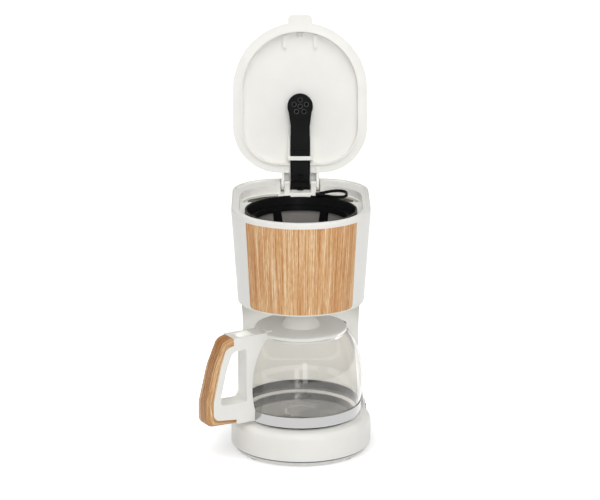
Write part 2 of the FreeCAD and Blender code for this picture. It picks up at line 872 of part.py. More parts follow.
def rocker():
    """The key lies on its pivot, hollowed in the middle of its face, and is tilted to off."""
    low = s.switch_height - s.rocker_half_height
    high = s.switch_height + s.rocker_half_height
    outline = [(-rocker_deep, -s.rocker_half), (rocker_deep, -s.rocker_half), (0.7 * rocker_deep, 0),
               (rocker_deep, s.rocker_half), (-rocker_deep, s.rocker_half)]
    corners = [Vector(rocker_axis + x, s.switch_back + y, low) for x, y in outline]
    key = Part.Face(Part.makePolygon(corners + corners[:1])).extrude(Vector(0, 0, high - low))
    key = key.fuse(rod(s.rocker_pin, low - s.rocker_pin, high + s.rocker_pin, rocker_axis, s.switch_back))
    return key.removeSplitter()


ROCKER_OFF = Placement(
    Vector(), Rotation(Vector(0, 0, 1), -s.rocker_throw / 2), Vector(rocker_axis, s.switch_back, 0)
)
piece(shaped("SwitchFrame", switch_frame()), "switch_frame")
piece(shaped("RockerSwitch", rocker()), "rocker_switch", ROCKER_OFF)


# Head: a tapered shell with a wood-look panel let into its front

head_floor = s.head_bottom + s.wall
TANK = inset((s.column_waist_half, s.column_waist_half, s.head_rear, s.base_corner), s.wall + s.tank_gap)


def head_loft(distance):
    return tapered(inset(HEAD, distance), inset(RIM, distance), s.head_bottom, s.head_top)


def panel_zone():
    """Everything in front of the head that the panel's outline takes in."""
    corners = [
        (-s.panel_top_half, s.head_top, 0),
        (s.panel_top_half, s.head_top, 0),
        (s.panel_bottom_half, s.panel_bottom, s.panel_corner),
        (-s.panel_bottom_half, s.panel_bottom, s.panel_corner),
    ]
    return slab(corners, -2 * s.rim_front, 0)


def tank_block(distance, low, high):
    """The tank's outline: the column's inside, hollow in front like the jug's bay."""
    front = rod(s.bay_radius + s.wall + s.tank_gap + distance, low - 1, high + 1)
    return prism(inset(TANK, distance), low, high).cut(front)


def upper_housing():
    inside = head_loft(s.wall).cut(prism(RIM, s.head_bottom - 1, head_floor))
    seat = panel_zone().cut(head_loft(s.panel_thick - s.panel_proud))
    shell = head_loft(0).cut(inside).cut(seat)
    shell = shell.cut(rod(s.spout_radius + 2 * s.fit, s.head_bottom - 1, head_floor + 1))
    return shell.cut(tank_block(-s.fit, s.head_bottom - 1, head_floor + 1)).removeSplitter()


def wood_panel():
    skin = head_loft(-s.panel_proud).cut(head_loft(s.panel_thick - s.panel_proud))
    return skin.common(panel_zone()).removeSplitter()


piece(shaped("UpperHousing", upper_housing()), "upper_housing")
piece(shaped("WoodPanel", wood_panel()), "wood_panel")


# Water tank hung in the back of the head, with a passage for the riser hose

deck_low = s.deck_top - s.deck_thick
tank_top = deck_low - s.fit
passage = s.nozzle_radius + s.nozzle_flange + 2 * s.fit


def water_tank():
    tank = tank_block(0, s.tank_bottom, tank_top)
    tank = tank.fuse(tank_block(-s.tank_flange, head_floor, head_floor + s.tank_flange_thick))
    tank = tank.cut(tank_block(s.tank_wall, s.tank_bottom + s.tank_wall, tank_top + 1))
    tank = tank.fuse(rod(passage + s.tank_wall, s.tank_bottom, tank_top, 0, s.riser_back))
    tank = tank.cut(rod(passage, s.tank_bottom - 1, tank_top + 1, 0, s.riser_back))
    tank = tank.fuse(rod(s.tail_radius, spout_low, s.tank_bottom, s.inlet_side, s.inlet_back))
    drain = rod(s.tail_radius / 2, spout_low - 1, s.tank_bottom + s.tank_wall + 1, s.inlet_side, s.inlet_back)
    return tank.cut(drain).removeSplitter()


piece(shaped("WaterTank", water_tank()), "water_tank")


# Top frame: the rim, the recessed deck with the filter's hole and the tank's mouth, and the hinge ledge

RECESS = (
    s.rim_half - s.rim_width, s.rim_front - s.rim_width, s.lid_rear + s.ledge_gap, s.rim_corner - s.rim_width
)
notch_half = s.lug_outer + s.cheek + 4 * s.fit
notch_back = s.hinge_back + 3 * s.hinge_eye
deck_hole = s.basket_radius + s.deck_hole


def top_frame():
    rim = prism(RIM, s.head_top, s.rim_top)
    rim = rim.makeFillet(s.rim_round, edges_at(rim, s.rim_top))
    skirt = s.wall + s.skirt_gap
    frame = rim.fuse(prism(inset(RIM, skirt), deck_low, s.head_top))
    frame = frame.cut(prism(inset(RIM, s.rim_width / 2), s.rim_top - s.ledge_drop, s.rim_top + 1))
    frame = frame.cut(prism(RECESS, s.deck_top, s.rim_top + 1))
    under_ledge = prism(inset(RIM, skirt + s.wall), deck_low - 1, s.rim_top - s.ledge_drop - s.wall)
    under_ledge = under_ledge.cut(prism(inset(RECESS, -s.wall), deck_low - 2, s.rim_top))
    middle = notch_half + s.wall
    spine = brick(-middle, middle, 0, s.rim_rear, deck_low - 2, s.rim_top)
    frame = frame.cut(under_ledge.cut(spine))
    frame = frame.cut(brick(-notch_half, notch_half, s.mouth_front, notch_back, s.deck_top, s.rim_top + 1))
    frame = frame.cut(rod(deck_hole, deck_low - 1, s.deck_top + 1))
    mouth = prism(inset(RECESS, s.wall), deck_low - 1, s.deck_top + 1).cut(spine)
    mouth = mouth.cut(rod(deck_hole + s.mouth_ring, deck_low - 2, s.deck_top + 2))
    ahead = brick(-s.rim_half, s.rim_half, -s.rim_front, s.mouth_front, deck_low - 2, s.deck_top + 2)
    mouth = mouth.cut(ahead)
    frame = frame.cut(mouth)
    nozzle = rod(s.nozzle_radius + s.fit, deck_low - 1, s.deck_top + 1, 0, s.riser_back)
    return frame.cut(nozzle).removeSplitter()


piece(shaped("TopFrame", top_frame()), "top_frame")
nozzle = fuse(
    "NozzleSolid",
    cylinder("NozzleTube", "nozzle_radius", "nozzle_height", y="riser_back", z="deck_top - nozzle_height"),
    cylinder("NozzleFlange", "nozzle_radius + nozzle_flange", "nozzle_flange", y="riser_back",
             z="deck_top - deck_thick - nozzle_flange"),
)
nozzle_bore = cylinder(
    "NozzleBore", "hose_bore", "2 * nozzle_height", y="riser_back", z="deck_top - 1.5 * nozzle_height"
)
piece(cut("OutletNozzle", nozzle, nozzle_bore), "outlet_nozzle")


# Filter holder hung under the deck, and the drip valve in its spout

FLOOR_TOP = "holder_floor + holder_floor_thick"
DECK_LOW = "deck_top - deck_thick"
filter_holder = turned(
    "FilterHolder",
    ("basket_radius + holder_gap", DECK_LOW),
    ("basket_radius + holder_gap", "holder_knee"),
    ("holder_sump", FLOOR_TOP),
    ("drip_hole", FLOOR_TOP),
    ("drip_hole", "holder_floor"),
    ("spout_radius - wall", "holder_floor"),
    ("spout_radius - wall", "spout_end"),
    ("spout_radius", "spout_end"),
    ("spout_radius", "holder_floor"),
    ("holder_sump + wall", "holder_floor"),
    ("basket_radius + holder_gap + wall", "holder_knee - wall"),
    ("basket_radius + holder_gap + wall", DECK_LOW + " - wall"),
    ("basket_radius + holder_gap + wall + holder_flange", DECK_LOW + " - wall"),
    ("basket_radius + holder_gap + wall + holder_flange", DECK_LOW),
)
piece(filter_holder, "filter_holder")
SEAL_TOP = FLOOR_TOP + " + drip_seal"
valve_stem = turned(
    "ValveStem",
    ("0", "stem_end"),
    ("stem_foot_radius", "stem_end"),
    ("stem_foot_radius", "stem_end + stem_foot"),
    ("stem_radius", "stem_end + stem_foot"),
    ("stem_radius", SEAL_TOP),
    ("drip_seal_radius", SEAL_TOP),
    ("drip_seal_radius", SEAL_TOP + " + stem_foot"),
    ("0", SEAL_TOP + " + stem_foot"),
)
piece(valve_stem, "valve_stem")
valve_seal = turned(
    "ValveSeal",
    ("stem_radius", FLOOR_TOP),
    ("drip_seal_radius", FLOOR_TOP),
    ("drip_seal_radius", SEAL_TOP),
    ("stem_radius", SEAL_TOP),
)
piece(valve_seal, "valve_seal")


def valve_spring():
    low = s.stem_end + s.stem_foot + s.spring_wire
    height = s.holder_floor - s.spring_wire - low
    helix = Part.makeHelix(height / s.spring_turns, height, s.spring_radius)
    wire = Part.Wire(Part.makeCircle(s.spring_wire, Vector(s.spring_radius, 0, 0), Vector(0, 1, 0)))
    coil = Part.Wire(helix).makePipeShell([wire], True, True)
    coil.translate(Vector(0, 0, low))
    return coil


piece(shaped("ValveSpring", valve_spring()), "valve_spring")


# Filter basket: a ribbed cup with mesh windows, and a loop handle that folds over its rim

STEP_RADIUS = "basket_radius - basket_wall - basket_step_width"
basket_cup = turned(
    "BasketCup",
    ("0", "basket_floor"),
    ("basket_floor_radius", "basket_floor"),
    (STEP_RADIUS + " + basket_wall", "basket_step - basket_wall"),
    ("basket_radius", "basket_step - basket_wall"),
    ("basket_radius", "deck_top"),
    ("basket_lip", "deck_top"),
    ("basket_lip", "basket_top"),
    ("basket_lip - basket_wall", "basket_top"),
    ("basket_radius - basket_wall", "basket_step"),
    (STEP_RADIUS, "basket_step"),
    ("basket_floor_radius - basket_wall", "basket_floor + basket_wall"),
    ("0", "basket_floor + basket_wall"),
)


def window_cutter():
    """One slot through the basket's wall for each mesh window, wider at its head, the first at the back."""
    foot = s.window_width / 2
    head = s.window_head / 2
    near = s.basket_floor_radius / 2
    spots = [(-foot, s.window_bottom), (foot, s.window_bottom), (head, s.window_top), (-head, s.window_top)]
    corners = [Vector(near, y, z) for y, z in spots + spots[:1]]
    slot = Part.Face(Part.makePolygon(corners)).extrude(Vector(s.basket_lip - near, 0, 0))
    slots = []
    for number in range(int(s.window_count)):
        slots.append(slot.copy())
        slots[-1].rotate(Vector(), Vector(0, 0, 1), 90 + number * 360 / s.window_count)
    return slots[0].multiFuse(slots[1:])


def notch_cutter():
    """The rim is lower under the arm, and its lip is cut away below for a finger at the front."""
    wide = s.notch_front
    high = s.deck_top + s.notch_depth
    sill = s.basket_top - s.notch_depth
    back = brick(-s.notch_rear, s.notch_rear, 0, s.basket_lip + 1, sill, s.basket_top + 1)
    front = brick(-wide, wide, -s.basket_lip - 1, 0, s.deck_top - 1, high)
    return back.fuse(front.cut(rod(s.basket_radius, s.deck_top - 2, high + 1)))


LOOP_LEVEL = "basket_top + fit + loop_bar / 2"
window_tool = shaped("WindowCutter", window_cutter())
windowed_cup = cut("WindowedCup", basket_cup, window_tool, shaped("NotchCutter", notch_cutter()))
loop_lug = box(
    "LoopLug", "2 * loop_lug", "2 * loop_lug", "loop_bar + 1 + fit",
    "loop_root - loop_lug", "loop_middle - loop_lug", "basket_top - 1",
)
lug_bore = cylinder(
    "LoopLugBore",
    "loop_pin + running",
    "4 * loop_lug",
    "loop_root",
    "loop_middle - 2 * loop_lug",
    LOOP_LEVEL,
    "y",
)
piece(cut("FilterBasket", fuse("BasketSolid", windowed_cup, loop_lug), lug_bore), "filter_basket")
filter_mesh = turned(
    "FilterMesh",
    ("basket_floor_radius", "basket_floor"),
    ("basket_floor_radius + mesh_thick", "basket_floor"),
    (STEP_RADIUS + " + basket_wall + mesh_thick", "basket_step - basket_wall"),
    (STEP_RADIUS + " + basket_wall", "basket_step - basket_wall"),
)
piece(filter_mesh, "filter_mesh")


def filter_loop():
    """A flat loop whose two tines straddle the lug on the basket's rim."""
    level = s.basket_top + s.fit + s.loop_bar / 2
    low = level - s.loop_bar / 2
    high = level + s.loop_bar / 2
    half = s.loop_width / 2
    left = s.loop_middle - half
    right = s.loop_middle + half
    tip = s.loop_root + s.loop_length
    loop = brick(s.loop_root, tip, left, right, low, high)
    upright = [e for e in loop.Edges if e.BoundBox.ZLength > s.loop_bar / 2]
    corners = [e for e in upright if abs(e.BoundBox.XMin - tip) < 0.01]
    loop = loop.makeFillet(half - s.fit, corners)
    bar = s.loop_bar
    hole = brick(s.loop_root + bar, tip - bar, left + bar, right - bar, low - 1, high + 1)
    ends = [e for e in hole.Edges if e.BoundBox.ZLength > s.loop_bar]
    loop = loop.cut(hole.makeFillet(s.loop_width / 2 - s.loop_bar - s.fit, ends))
    loop = loop.fuse(along_back(s.loop_bar / 2, s.loop_root, left, right, level))
    gap = s.loop_lug + s.fit
    near = s.loop_middle - gap
    slot = brick(s.loop_root - bar, s.loop_root + gap + s.fit, near, near + 2 * gap, low - 1, high + 1)
    loop = loop.cut(slot)
    return loop.fuse(along_back(s.loop_pin, s.loop_root, left, right, level)).removeSplitter()


piece(shaped("FilterLoop", filter_loop()), "filter_loop")


# Hinge: a bracket on the ledge, and the pin that carries the lid and its arm

lug_top = s.rim_top - s.fit
cheek_inner = s.lug_outer + s.fit
cheek_outer = cheek_inner + s.cheek


def hinge_bracket():
    back = s.hinge_back + s.hinge_eye
    floor = s.deck_top + s.arm_wall
    bracket = brick(-s.lug_outer, s.lug_outer, s.lug_front, back, s.deck_top, floor)
    lugs = mirrored_brick(s.lug_inner, s.lug_outer, s.lug_front, s.hinge_back, s.deck_top, lug_top)
    bracket = bracket.fuse(lugs)
    for x0, x1 in ((s.lug_inner, s.lug_outer), (-s.lug_outer, -s.lug_inner)):
        bracket = bracket.fuse(cross_rod(s.hinge_eye, x0, x1, s.hinge_back, s.hinge_height))
    room = cross_rod(s.hinge_eye + 2 * s.fit, -s.lug_inner, s.lug_inner, s.hinge_back, s.hinge_height)
    bracket = bracket.cut(room).cut(rod(s.nozzle_radius + s.fit, s.deck_top - 1, floor + 1, 0, s.riser_back))
    bore = cross_rod(s.hinge_pin, -s.rim_half, s.rim_half, s.hinge_back, s.hinge_height)
    return bracket.cut(bore).removeSplitter()


piece(shaped("HingeBracket", hinge_bracket()), "hinge_bracket")
hinge_pin = cylinder(
    "HingePin", "hinge_pin", "2 * (lug_outer + fit + cheek)", "-lug_outer - fit - cheek",
    "hinge_back", "hinge_height", "x",
)
piece(hinge_pin, "hinge_pin")


# Lid, drawn closed on the rim and then swung open about the pin

lid_low = s.rim_top + s.fit
lid_top = lid_low + s.lid_height
lid_under = lid_top - s.lid_skin
arm_top = s.arm_bottom + s.arm_height
arm_clear = arm_top + s.arm_cap + s.fit
arm_slot = s.arm_half + s.arm_room
rail_low = lid_low + s.ridge
lip_inset = s.rim_width + 2 * s.fit


def lid_tab():
    """The finger tab on the front edge, with rounded corners."""
    front = -s.rim_front - s.tab_reach
    tab = brick(-s.tab_half, s.tab_half, front, s.rim_width - s.rim_front, lid_low, lid_low + s.tab_thick)
    corners = [e for e in tab.Edges if abs(e.BoundBox.YMin - front) < 0.01 and e.BoundBox.ZLength > 1]
    return tab.makeFillet(s.tab_reach * 0.7, corners)


def lid_neck():
    """Two cheeks from the lid's back edge to the pin, with a bridge over the arm."""
    bridge_top = lid_top - s.lid_skin / 2
    front = s.lid_rear - s.rim_width
    side = [(front, lid_low), (front, bridge_top), (s.hinge_back, bridge_top),
            (s.hinge_back + s.hinge_eye, s.hinge_height), (s.hinge_back - s.hinge_eye, s.hinge_height)]
    neck = brick(-cheek_outer, cheek_outer, front, s.hinge_back, arm_clear, bridge_top)
    for x in (cheek_inner, -cheek_outer):
        corners = [Vector(x, y, z) for y, z in side]
        cheek = Part.Face(Part.makePolygon(corners + corners[:1])).extrude(Vector(s.cheek, 0, 0))
        neck = neck.fuse(cheek).fuse(cross_rod(s.hinge_eye, x, x + s.cheek, s.hinge_back, s.hinge_height))
    return neck


def lid_shell():
    shell = prism(LID, lid_low, lid_top)
    shell = shell.makeFillet(s.lid_round, edges_at(shell, lid_top))
    lip_low = lid_low - s.lid_lip_depth
    shell = shell.fuse(prism(inset(LID, lip_inset), lip_low, lid_low))
    shell = shell.cut(prism(inset(LID, lip_inset + s.lid_lip), lip_low - 1, lid_under))
    shell = shell.fuse(lid_tab()).fuse(lid_neck())
    outer = arm_slot + s.rail_width
    rails = mirrored_brick(arm_slot, outer, s.rail_front, s.rail_back, rail_low, lid_under)
    shell = shell.fuse(rails)
    rib = s.rib_middle - s.rib_width / 2
    rib_low = lid_under - s.rib_width
    shell = shell.fuse(mirrored_brick(rib, rib + s.rib_width, -s.rib_front, -s.rib_back, rib_low, lid_under))
    shell = shell.cut(brick(-arm_slot, arm_slot, s.rail_front, s.rim_rear, lip_low - 1, arm_clear))
    bore = cross_rod(s.hinge_pin + s.running, -s.rim_half, s.rim_half, s.hinge_back, s.hinge_height)
    return shell.cut(bore).removeSplitter()


piece(shaped("LidShell", lid_shell()), "lid_shell", LID_OPEN)


# Shower arm and its cap, held to the lid by a strap

arm_end = s.hinge_back - 2 * s.hinge_eye


def arm_neck(low, high):
    """The taper from the round head to the arm."""
    spread = math.radians(s.neck_spread)
    wide = s.head_radius * math.cos(spread)
    start = s.head_centre + s.head_radius * math.sin(spread)
    corners = [Vector(x, y, low) for x, y in (
        (-wide, start), (wide, start), (s.arm_half, s.head_centre + s.neck_length),
        (-s.arm_half, s.head_centre + s.neck_length),
    )]
    return Part.Face(Part.makePolygon(corners + corners[:1])).extrude(Vector(0, 0, high - low))


def shower_arm():
    arm = brick(-s.arm_half, s.arm_half, s.head_centre, s.hinge_back, s.arm_bottom, arm_top)
    arm = arm.fuse(rod(s.head_radius, s.arm_bottom - s.head_drop, arm_top, 0, s.head_centre))
    arm = arm.fuse(arm_neck(s.arm_bottom, arm_top))
    arm = arm.fuse(cross_rod(s.hinge_eye, -s.arm_half, s.arm_half, s.hinge_back, s.hinge_height))
    floor = s.arm_bottom + s.arm_wall
    duct = s.arm_half - s.arm_wall
    arm = arm.cut(brick(-duct, duct, s.head_centre, arm_end, floor, arm_top + 1))
    arm = arm.cut(rod(s.head_radius - s.arm_wall, floor - s.head_drop, arm_top + 1, 0, s.head_centre))
    ridge_low = s.arm_bottom - s.ridge
    for back in (s.strap_back - 2 * s.strap_width, arm_end, s.hinge_back - s.hinge_eye):
        arm = arm.fuse(brick(-s.arm_half, s.arm_half, back - s.arm_wall, back, ridge_low, s.arm_bottom))
    jets = [(0, 0)]
    for number in range(5):
        angle = math.radians(number * 72 - 90)
        jets.append((s.jet_ring * math.cos(angle), s.jet_ring * math.sin(angle)))
    for x, y in jets:
        arm = arm.cut(rod(s.jet_radius, s.arm_bottom - 2 * s.head_drop, floor, x, s.head_centre + y))
    arm = arm.cut(rod(s.hose_bore, ridge_low - 1, floor + 1, 0, s.riser_back))
    bore = cross_rod(s.hinge_pin + s.running, -s.arm_half - 1, s.arm_half + 1, s.hinge_back, s.hinge_height)
    return arm.cut(bore).removeSplitter()


def arm_cap():
    high = arm_top + s.arm_cap
    cap = brick(-s.arm_half, s.arm_half, s.head_centre, arm_end + s.arm_wall, arm_top, high)
    head = rod(s.head_radius, arm_top, high, 0, s.head_centre)
    return cap.fuse(head).fuse(arm_neck(arm_top, high)).removeSplitter()


def arm_strap():
    front = s.strap_back - s.strap_width / 2
    back = s.strap_back + s.strap_width / 2
    top = s.arm_bottom - s.fit
    wide = arm_slot + s.rail_width
    strap = brick(-wide, wide, front, back, top - s.strap_thick, top)
    ends = mirrored_brick(arm_slot, wide, front, back, top - s.strap_thick, rail_low)
    return strap.fuse(ends).removeSplitter()


piece(shaped("ShowerArm", shower_arm()), "shower_arm", LID_OPEN)
piece(shaped("ArmCap", arm_cap()), "arm_cap", LID_OPEN)
piece(shaped("ArmStrap", arm_strap()), "arm_strap", LID_OPEN)


# Jug, drawn with its handle along X and then turned to the front left

band_top = s.band_bottom + s.band_height
neck_shoulder = (s.jug_shoulder + 2 * s.jug_rim) / 3
neck_flare = (s.jug_shoulder_radius + s.jug_neck_radius) / 2 - s.glass / 2


def jug_profile(distance):
    """The jug's outline turned about its axis, smaller by the given distance; closed at the top."""
    low = s.jug_bottom + distance
    waist = s.jug_band_radius - distance
    foot = s.jug_base_radius - distance
    corner = waist - foot
    knee = low + corner
    diagonal = corner * math.sin(math.radians(45))
    corner_mid = Vector(foot + diagonal, 0, knee - diagonal)
    belly = Part.BSplineCurve()
    belly.interpolate(
        Points=[
            Vector(waist, 0, band_top),
            Vector(s.jug_belly_radius - distance, 0, s.jug_belly),
            Vector(s.jug_shoulder_radius - distance, 0, s.jug_shoulder),
            Vector(neck_flare - distance, 0, neck_shoulder),
            Vector(s.jug_neck_radius - distance, 0, s.jug_rim),
        ],
    )
    edges = chain_edges((0, s.jug_rim), (0, low), (foot, low))
    edges.append(Part.Arc(Vector(foot, 0, low), corner_mid, Vector(waist, 0, knee)).toShape())
    edges += chain_edges((waist, knee), (waist, band_top))
    edges.append(belly.toShape())
    return spun(edges + chain_edges((s.jug_neck_radius - distance, s.jug_rim), (0, s.jug_rim)))


def pouring_lip(distance):
    """A flared lip opposite the handle."""
    middle = -s.jug_neck_radius - s.lip_reach + s.lip_half
    low = s.jug_rim - 2 * s.lip_reach
    small = s.lip_half - s.lip_reach - distance
    return Part.makeCone(small, s.lip_half - distance, s.jug_rim - low, Vector(middle, 0, low))


def jug_glass():
    outside = jug_profile(0).fuse(pouring_lip(0))
    return outside.cut(jug_profile(s.glass)).cut(pouring_lip(s.glass)).removeSplitter()


piece(shaped("JugGlass", jug_glass()), "jug_glass", JUG_TURN)
jug_band = turned(
    "JugBand",
    ("jug_band_radius", "band_bottom"),
    ("jug_band_radius + band_thick", "band_bottom"),
    ("jug_band_radius + band_thick", "band_bottom + band_height"),
    ("jug_band_radius", "band_bottom + band_height"),
)
piece(jug_band, "jug_band", JUG_TURN)

grip_top = s.handle_top
seam_reach = s.grip_reach - s.grip_thick
SEAM = [
    (s.grip_start, grip_top - s.grip_thick, 0),
    (s.grip_start + s.knuckle_reach, grip_top - s.grip_thick - s.knuckle_drop, s.knuckle_reach),
    (s.grip_start + s.slope_reach, s.jug_shoulder + s.knuckle_drop, s.slope_bend),
    (seam_reach, s.finger_bottom + s.heel_rise, s.heel_bend),
    (seam_reach, s.grip_bottom + s.grip_thick, s.heel_corner),
    (s.grip_end, s.grip_bottom + s.grip_thick / 1.5, 0),
]
FINGER_HOLE = [
    (s.finger_inner, s.finger_top, s.hole_corner),
    (s.grip_start + s.knuckle_drop, s.finger_top - s.hole_corner / 2, s.knuckle_reach),
    (s.grip_start + s.hole_slope, s.jug_shoulder - s.hole_corner, s.slope_bend),
    (s.finger_outer, s.finger_bottom + s.knuckle_reach, s.hole_bend),
    (s.finger_outer, s.finger_bottom, s.hole_corner),
    (s.finger_inner, s.finger_bottom, s.hole_corner),
]
screw_reach = s.jug_band_radius + s.band_thick + 2 * s.screw_head_radius
screw_level = s.grip_bottom + 2 * s.screw_head_radius


def band_screw(extra):
    """The screw across the handle's foot that draws the band tight."""
    spot = Vector(screw_reach, -s.handle_half, screw_level)
    shank = Part.makeCylinder(s.screw_radius + extra, 2 * s.handle_half - s.wall, spot, Vector(0, 1, 0))
    return shank.fuse(Part.makeCylinder(s.screw_head_radius + extra, s.screw_head, spot, Vector(0, 1, 0)))


def jug_handle():
    inner = s.jug_neck_radius - s.glass
    outline = [(inner, s.handle_top, 0), (s.grip_start, s.handle_top, 0)] + SEAM
    outline += [(s.grip_end, s.grip_bottom, 1), (inner, s.grip_bottom, 0)]
    handle = slab(outline, -s.handle_half, s.handle_half)
    handle = handle.cut(slab(FINGER_HOLE, -s.handle_half - 1, s.handle_half + 1))
    handle = handle.cut(jug_profile(-s.fit))
    handle = handle.cut(rod(s.jug_band_radius + s.band_thick, s.grip_bottom - 1, band_top))
    handle = handle.cut(rod(s.jug_lid_radius + s.fit, s.jug_rim - 1, s.handle_top + 1))
    hollow = s.handle_half - s.wall
    recess = brick(s.jug_shoulder_radius, s.grip_start - 3 * s.wall, -hollow, hollow,
                   s.handle_top - s.handle_recess, s.handle_top + 1)
    return handle.cut(recess).cut(band_screw(0)).removeSplitter()


def handle_grip():
    outline = [
        (s.grip_start, grip_top, 0),
        (s.grip_start + s.brow_reach, grip_top - s.knuckle_drop / 2, s.brow_bend),
        (s.grip_start + s.back_reach, s.jug_shoulder, s.back_bend),
        (s.grip_reach, s.finger_bottom + s.heel_rise / 2, s.heel_bend),
        (s.grip_reach, s.grip_bottom + s.knuckle_drop / 2, s.heel_corner),
        (s.grip_end, s.grip_bottom, 0),
    ]
    inner = s.finger_inner
    core = [(inner, s.handle_top + 1, 0), (s.grip_start, s.handle_top + 1, 0)] + SEAM
    core += [(s.grip_end, s.grip_bottom - 1, 0), (inner, s.grip_bottom - 1, 0)]
    grip = slab(outline, -s.handle_half, s.handle_half)
    inside = math.dist((s.grip_start, grip_top), (s.grip_end, s.grip_bottom))
    flat = [e for e in grip.Edges if e.BoundBox.YLength < 0.01]
    grip = grip.makeFillet(s.grip_round, [e for e in flat if abs(e.Length - inside) > 0.01])
    return grip.cut(slab(core, -s.handle_half - 1, s.handle_half + 1)).removeSplitter()


def jug_lid():
    rise = s.jug_lid_top + s.jug_lid_thick / 2
    height = s.dome_top - rise
    ball = (s.dome_radius ** 2 + height ** 2) / (2 * height)
    turn = math.asin(s.dome_radius / ball) / 2
    dome_mid = Vector(ball * math.sin(turn), 0, s.dome_top - ball * (1 - math.cos(turn)))
    top = Vector(0, 0, s.dome_top)
    edges = [Part.Arc(top, dome_mid, Vector(s.dome_radius, 0, rise)).toShape()]
    thick = s.jug_lid_thick
    skirt = s.jug_neck_radius - s.glass - 2 * s.fit
    seat = s.jug_rim + s.fit
    edges += chain_edges(
        (s.dome_radius, rise),
        (s.jug_lid_radius - thick / 2, s.jug_lid_top),
        (s.jug_lid_radius, s.jug_lid_top - thick / 2),
        (s.jug_lid_radius, seat),
        (skirt, seat),
        (skirt, seat - s.jug_lid_skirt),
        (skirt - thick, seat - s.jug_lid_skirt),
        (skirt - thick, s.jug_lid_top - thick),
        (s.dome_radius - thick, rise - thick),
        (s.dome_radius * 0.6, s.dome_top - height / 2),
        (0, s.dome_top - thick),
        (0, s.dome_top),
    )
    thumb = brick(skirt - 4 * thick, skirt, -s.jug_lid_thumb / 2, s.jug_lid_thumb / 2,
                  s.jug_lid_top - thick, s.jug_lid_top + thick)
    return spun(edges).fuse(thumb).removeSplitter()


piece(shaped("JugHandle", jug_handle()), "jug_handle", JUG_TURN)
piece(shaped("HandleGrip", handle_grip()), "handle_grip", JUG_TURN)
piece(shaped("BandScrew", band_screw(0)), "band_screw", JUG_TURN)
piece(shaped("JugLid", jug_lid()), "jug_lid", JUG_TURN)


# Check every object and write each sub-part

doc.recompute()
faults = [obj.Name for obj in doc.Objects if {"Invalid", "Error"} & set(obj.State)]
faults += [obj.Label for obj in pieces if obj.Shape.isNull() or not obj.Shape.isValid()]
if faults:
    raise RuntimeError("objects that failed: " + ", ".join(faults))
os.makedirs("parts", exist_ok=True)
for obj in pieces:
    obj.Shape.exportStep("parts/%s.step" % obj.Label)
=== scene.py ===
import json
import math

import bmesh
import bpy
from mathutils import Matrix, Vector

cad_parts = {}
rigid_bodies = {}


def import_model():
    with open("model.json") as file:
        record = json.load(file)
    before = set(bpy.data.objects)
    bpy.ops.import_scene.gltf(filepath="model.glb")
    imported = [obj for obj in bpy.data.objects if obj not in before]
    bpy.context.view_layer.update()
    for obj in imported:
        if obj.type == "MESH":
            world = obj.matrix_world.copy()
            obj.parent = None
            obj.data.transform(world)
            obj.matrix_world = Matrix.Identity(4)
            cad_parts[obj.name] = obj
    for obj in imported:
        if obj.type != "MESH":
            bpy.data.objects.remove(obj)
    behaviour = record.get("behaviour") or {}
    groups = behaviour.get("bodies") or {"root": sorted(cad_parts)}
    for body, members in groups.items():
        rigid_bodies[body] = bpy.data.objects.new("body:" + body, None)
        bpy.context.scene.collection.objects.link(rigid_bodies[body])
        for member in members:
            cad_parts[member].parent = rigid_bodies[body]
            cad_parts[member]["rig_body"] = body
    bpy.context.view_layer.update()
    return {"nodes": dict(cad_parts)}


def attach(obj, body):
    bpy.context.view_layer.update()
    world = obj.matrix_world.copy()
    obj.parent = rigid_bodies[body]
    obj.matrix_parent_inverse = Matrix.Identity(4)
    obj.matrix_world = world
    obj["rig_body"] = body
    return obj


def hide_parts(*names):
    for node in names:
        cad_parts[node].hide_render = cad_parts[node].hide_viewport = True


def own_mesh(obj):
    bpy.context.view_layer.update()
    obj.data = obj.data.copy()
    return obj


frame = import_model()

# Studio: white paper under an even white tent, a soft lamp overhead and another by the lens.
# A narrow strip lamp beside the lens draws the upright streak on glass and gloss, and a small
# weak lamp in the jug's bay opens the shade on the column.
# The camera is a long lens, 15.5 degrees above level, on the machine's front.

scene = bpy.context.scene
scene.view_settings.view_transform = "Standard"


def linear(hexa):
    """A colour written as sRGB hex, as the linear values that shaders take."""
    parts = [int(hexa[i:i + 2], 16) / 255 for i in (1, 3, 5)]
    return [p / 12.92 if p <= 0.04045 else ((p + 0.055) / 1.055) ** 2.4 for p in parts] + [1]


def add(tree, kind, sockets=None, **settings):
    """Adds one shader node with its settings; a socket given another node's output is linked to it."""
    made = tree.nodes.new(kind)
    for name, value in settings.items():
        setattr(made, name, value)
    for name, value in (sockets or {}).items():
        if isinstance(value, bpy.types.NodeSocket):
            tree.links.new(value, made.inputs[name])
        else:
            made.inputs[name].default_value = value
    return made


def aimed(holder, spot):
    """Turns a lamp or the camera to look at a spot."""
    holder.rotation_euler = (Vector(spot) - holder.location).to_track_quat("-Z", "Y").to_euler()
    scene.collection.objects.link(holder)


camera = bpy.data.objects.new("camera", bpy.data.cameras.new("camera"))
camera.data.lens = 150
camera.data.sensor_width = 36
camera.data.clip_end = 20
camera.location = (-0.0185, -2.505, 0.9088)
aimed(camera, (-0.001, 0, 0.214))
scene.camera = camera

